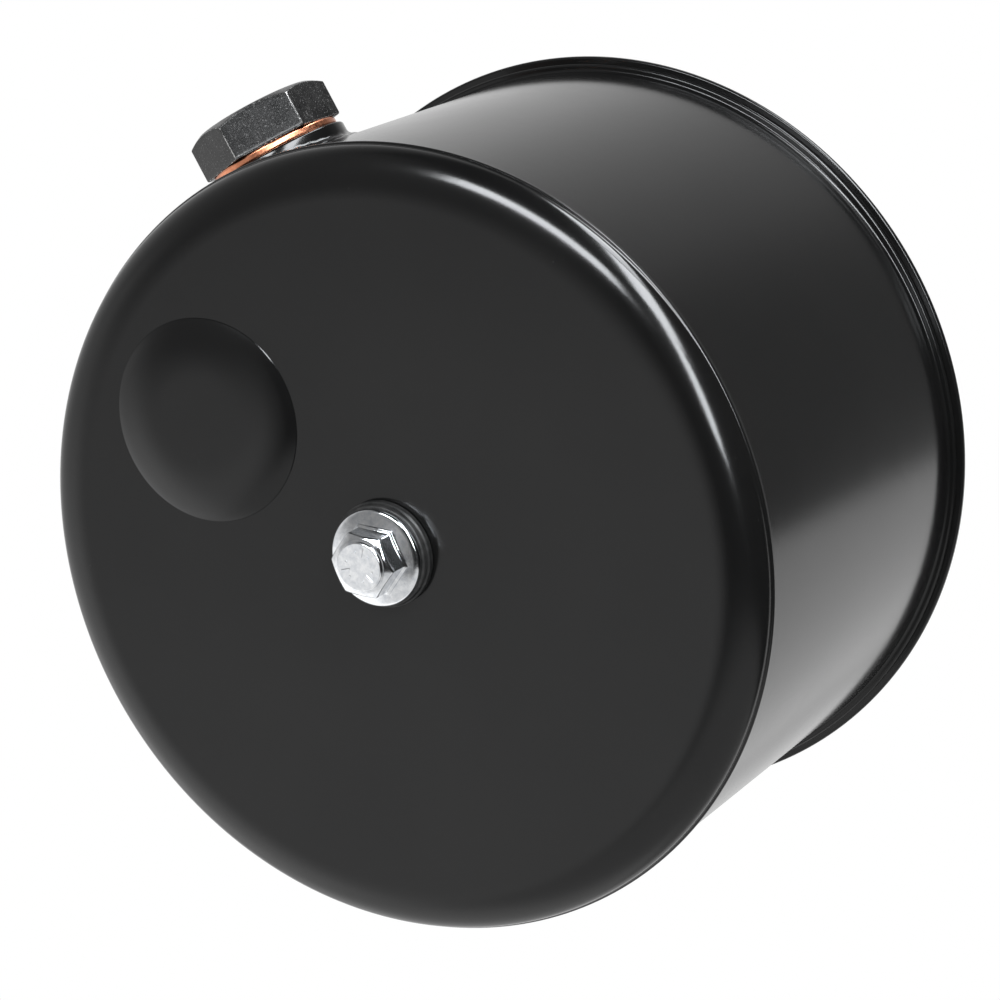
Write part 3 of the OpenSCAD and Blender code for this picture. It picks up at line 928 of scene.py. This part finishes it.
def seat_plate():
    """Plate with a bolt hole and six oil holes, all with broken edges."""
    front, back, radius = low("seat_plate")[Y], high("seat_plate")[Y], high("seat_plate")[X]
    hole_r, hole_at, chamfer = 3.0, 9.5, 0.3
    holes = [(CLEAR_R, (0, 0), 48)]
    holes += [(hole_r, (hole_at * cos(a), hole_at * sin(a)), 36)
              for a in (TURN * k / 6 for k in range(6))]
    skin = Skin(TO_CAN_AXIS)
    for height, up in ((front, -1), (back, 1)):
        loops = [circle(radius - 0.4, 120, height)]
        loops += [circle(r + chamfer, count, height, at) for r, at, count in holes]
        skin.flat(loops, (0, 0, up))
    skin.turn(rounded([(radius - 0.4, front), (radius, front + 0.4), (radius, back - 0.4),
                       (radius - 0.4, back)], closed=False), 120)
    for r, at, count in holes:
        loops = [circle(q, count, h, at) for q, h in
                 ((r + chamfer, front), (r, front + chamfer), (r, back - chamfer), (r + chamfer, back))]
        skin.columns([list(column) for column in zip(*loops)][::-1])
    return skin.make("seat_plate", "bolt_stack", "zinc_sheet", ZINC_SHEET, "seat_plate")


def keep_cad_node(node, material_used):
    """A CAD node whose shape is right only gets its finish."""
    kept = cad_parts[node]
    kept.data.materials.clear()
    kept.data.materials.append(material_used)


end_cap()
shell()
mounting_flange()
mouth_o_ring()
cap_reinforcement()
filler_boss()
copper_washer()
filler_plug()
bolt_seal_washer()
through_bolt()
spring_seat()
filter_spring()
end_plate("filter_front_plate", CLEAR_R + 1.6, low("filter_front_plate")[Y],
          high("filter_front_plate")[Y], -1)
bolt_grommet()
filter_media()
end_plate("filter_rear_plate", OUTLET_R, high("filter_rear_plate")[Y],
          low("filter_rear_plate")[Y], 1)
filter_seal()
seat_plate()
keep_cad_node("filter_centre_tube", ZINC_SHEET)
keep_cad_node("front_clip", SPRING_STEEL)
keep_cad_node("rear_clip", SPRING_STEEL)


# ---- camera ----

VIEW_AZIMUTH = radians(32.26)          # of the camera's heading, from +Y towards -X
VIEW_DROP = radians(0.60)
VIEW_ROLL = radians(27.98)
VIEW_DISTANCE = 0.6551
VIEW_LENS = 124.6
LOOK_AT = Vector((-0.00226, -0.04649, -0.00169))

FORWARD = Vector((-sin(VIEW_AZIMUTH) * cos(VIEW_DROP), cos(VIEW_AZIMUTH) * cos(VIEW_DROP),
                  -sin(VIEW_DROP)))
LEVEL = FORWARD.cross(Vector((0, 0, 1))).normalized()
RIGHT = Matrix.Rotation(VIEW_ROLL, 3, FORWARD) @ LEVEL
UP = RIGHT.cross(FORWARD)


def aimed(rows_right, rows_up, rows_forward, where):
    """A placement with its X, Y and -Z along three directions."""
    turn = Matrix((rows_right, rows_up, -rows_forward)).transposed()
    return Matrix.Translation(where) @ turn.to_4x4()


def camera():
    data = bpy.data.cameras.new("camera")
    data.lens = VIEW_LENS
    data.sensor_width = 36.0
    data.clip_start = 0.01
    placed = bpy.data.objects.new("camera", data)
    placed.matrix_world = aimed(RIGHT, UP, FORWARD, LOOK_AT - FORWARD * VIEW_DISTANCE)
    bpy.context.scene.collection.objects.link(placed)
    bpy.context.scene.camera = placed


# ---- studio ----

def studio_direction(right, up, forward):
    """A direction given along the camera's own axes."""
    return (RIGHT * right + UP * up + FORWARD * forward).normalized()


LIGHT_DISTANCE = 3.0                           # metres
LIGHT_TINT = (0.94, 0.97, 1.0)                 # slightly blue


def softbox(name, ends, spread, radiance):
    """A long soft light between two directions seen from the object, with a width as seen from it."""
    first, last = (studio_direction(*end) * LIGHT_DISTANCE for end in ends)
    along = last - first
    middle = (first + last) / 2
    inward = -middle.normalized()
    length, width = along.length, spread * LIGHT_DISTANCE
    along.normalize()
    data = bpy.data.lights.new(name, "AREA")
    data.shape = "RECTANGLE"
    data.size, data.size_y = length, width
    data.energy = radiance * pi * length * width
    data.color = LIGHT_TINT
    light = bpy.data.objects.new(name, data)
    light.matrix_world = aimed(along, inward.cross(along), inward, LOOK_AT + middle)
    light.visible_camera = False
    bpy.context.scene.collection.objects.link(light)


def room():
    """Light from the rest of the room by direction, with plain white behind the object."""
    world = bpy.data.worlds.new("room")
    world.use_nodes = True
    bpy.context.scene.world = world
    n = Nodes(world.node_tree)
    where = n.new("TexCoord").outputs["Generated"]

    def along(axis):
        dot = n.new("VectorMath", {0: where, 1: tuple(axis)}, operation="DOT_PRODUCT")
        return dot.outputs["Value"]

    right, up, forward, level = along(RIGHT), along(UP), along(FORWARD), along((0, 0, 1))
    # a pale table, low on the left and all along the bottom
    table = n.math("MULTIPLY", n.between(up, -0.56, -0.05, 1.05, 0.25, True),
                   n.between(right, -0.42, -0.72, 0.0, 1.1, True))
    table = n.math("MAXIMUM", table, n.between(up, -0.52, -0.72, 0.0, 0.85, True))
    # a greyer wall, farther off at the lower left
    wall = n.math("MULTIPLY", n.between(forward, -0.30, 0.05, 0.0, 0.6, True),
                  n.between(n.math("ADD", right, up), -0.7, -1.0, 0.0, 1.0, True))
    table = n.math("ADD", table, wall)
    # a dim backdrop beyond the object, brighter towards the left
    behind = n.math("SUBTRACT", forward, n.math("MULTIPLY", right, 0.6))
    backdrop = n.math("ADD", n.between(forward, 0.10, 0.42, 0.0, 0.14, True),
                      n.between(behind, 0.08, 0.30, 0.0, 0.30, True))
    backdrop = n.math("ADD", backdrop, n.between(behind, 0.3, 0.8, 0.0, 0.45))
    # the ground beyond the object, in the world's own up and down
    ground = n.math("MULTIPLY", n.between(level, -0.36, -0.41, 0.0, 1.25, True),
                    n.between(forward, 0.18, 0.44, 0.0, 1.0, True))
    light = n.math("MAXIMUM", n.math("MAXIMUM", table, ground), backdrop)
    light = n.math("ADD", light, 0.02)
    seen = n.new("LightPath").outputs["Is Camera Ray"]
    strength = n.math("MAXIMUM", light, seen)
    background = n.new("Background", {"Color": grey(1.0), "Strength": strength})
    n.new("OutputWorld", {"Surface": background.outputs["Background"]})


FLOOR_Z = -0.30
FLOOR_R = 0.72


def pale_floor():
    made, n = material("pale_floor")
    colour = n.mix(n.noise(0.01, 3.0), grey(0.86), grey(0.90))
    n.finish(Base_Color=colour, Roughness=0.7, Emission_Color=grey(1.0), Emission_Strength=0.25)
    mesh = bpy.data.meshes.new("floor")
    ring = [Vector(p) for p in circle(FLOOR_R, 128, FLOOR_Z)]
    mesh.from_pydata(ring, [], [list(range(len(ring)))])
    mesh.materials.append(made)
    placed = bpy.data.objects.new("floor", mesh)
    bpy.context.scene.collection.objects.link(placed)
    placed.visible_glossy = False


camera()
softbox("key_light", ((-0.63, 0.42, -0.66), (-0.24, 0.23, -0.945)), 0.20, 32)
softbox("edge_light", ((0.41, 0.89, 0.18), (0.42, 0.80, -0.43)), 0.30, 20)
softbox("side_light", ((0.42, 0.78, -0.48), (0.18, 0.34, -0.92)), 0.25, 30)
softbox("front_light", ((0.18, 0.34, -0.92), (-0.02, -0.20, -0.98)), 0.14, 30)
room()
pale_floor()
bpy.context.scene.view_settings.view_transform = "Standard"
